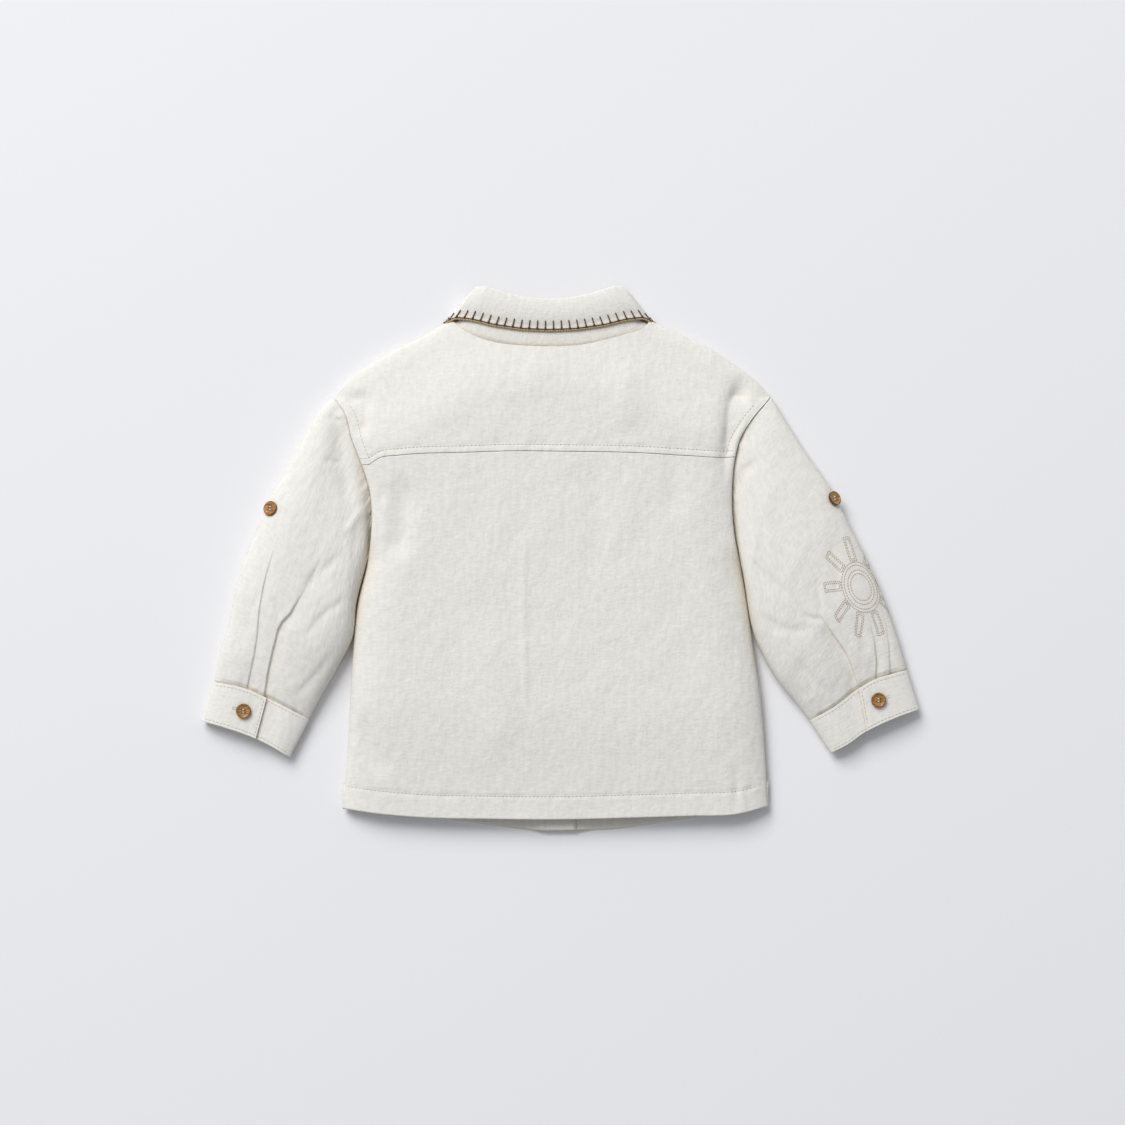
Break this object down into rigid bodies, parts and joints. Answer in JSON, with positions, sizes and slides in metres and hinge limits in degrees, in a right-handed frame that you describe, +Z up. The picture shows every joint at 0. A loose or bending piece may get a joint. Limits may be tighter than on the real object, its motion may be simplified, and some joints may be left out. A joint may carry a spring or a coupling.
{
  "type": "embroidered shirt",
  "caption": "Long-sleeved baby overshirt laid face down: yoked back, turned collar edged in blanket stitch, buttoned cuffs, sun stitched on one sleeve, open neck, hem and cuffs.",
  "frame": {"origin": "on the floor plane under the middle of the shirt's box, with the shirt lying face down", "axes": "+Z up out of the shirt's back; +Y along the centre back, from the hem towards the collar; +X towards the wearer's right sleeve"},
  "size_m": [0.5382, 0.4078, 0.0219],
  "materials": {
    "cotton": "matt crinkled cotton",
    "button": "satin, sealed",
    "stitch_brown": "matt twisted thread",
    "stitch_beige": "matt twisted thread"
  },
  "bodies": {
    "root": {"back_yoke": "cotton", "back_body": "cotton", "front_left": "cotton", "front_right": "cotton", "sleeve_left": "cotton", "sleeve_right": "cotton", "cuff_left": "cotton", "cuff_right": "cotton", "collar_stand": "cotton", "collar_leaf": "cotton", "front_button_1": "button", "front_button_2": "button", "front_button_3": "button", "front_button_4": "button", "front_button_5": "button", "cuff_button_left": "button", "cuff_button_right": "button", "tab_button_left": "button", "tab_button_right": "button"}
  },
  "joints": []
}
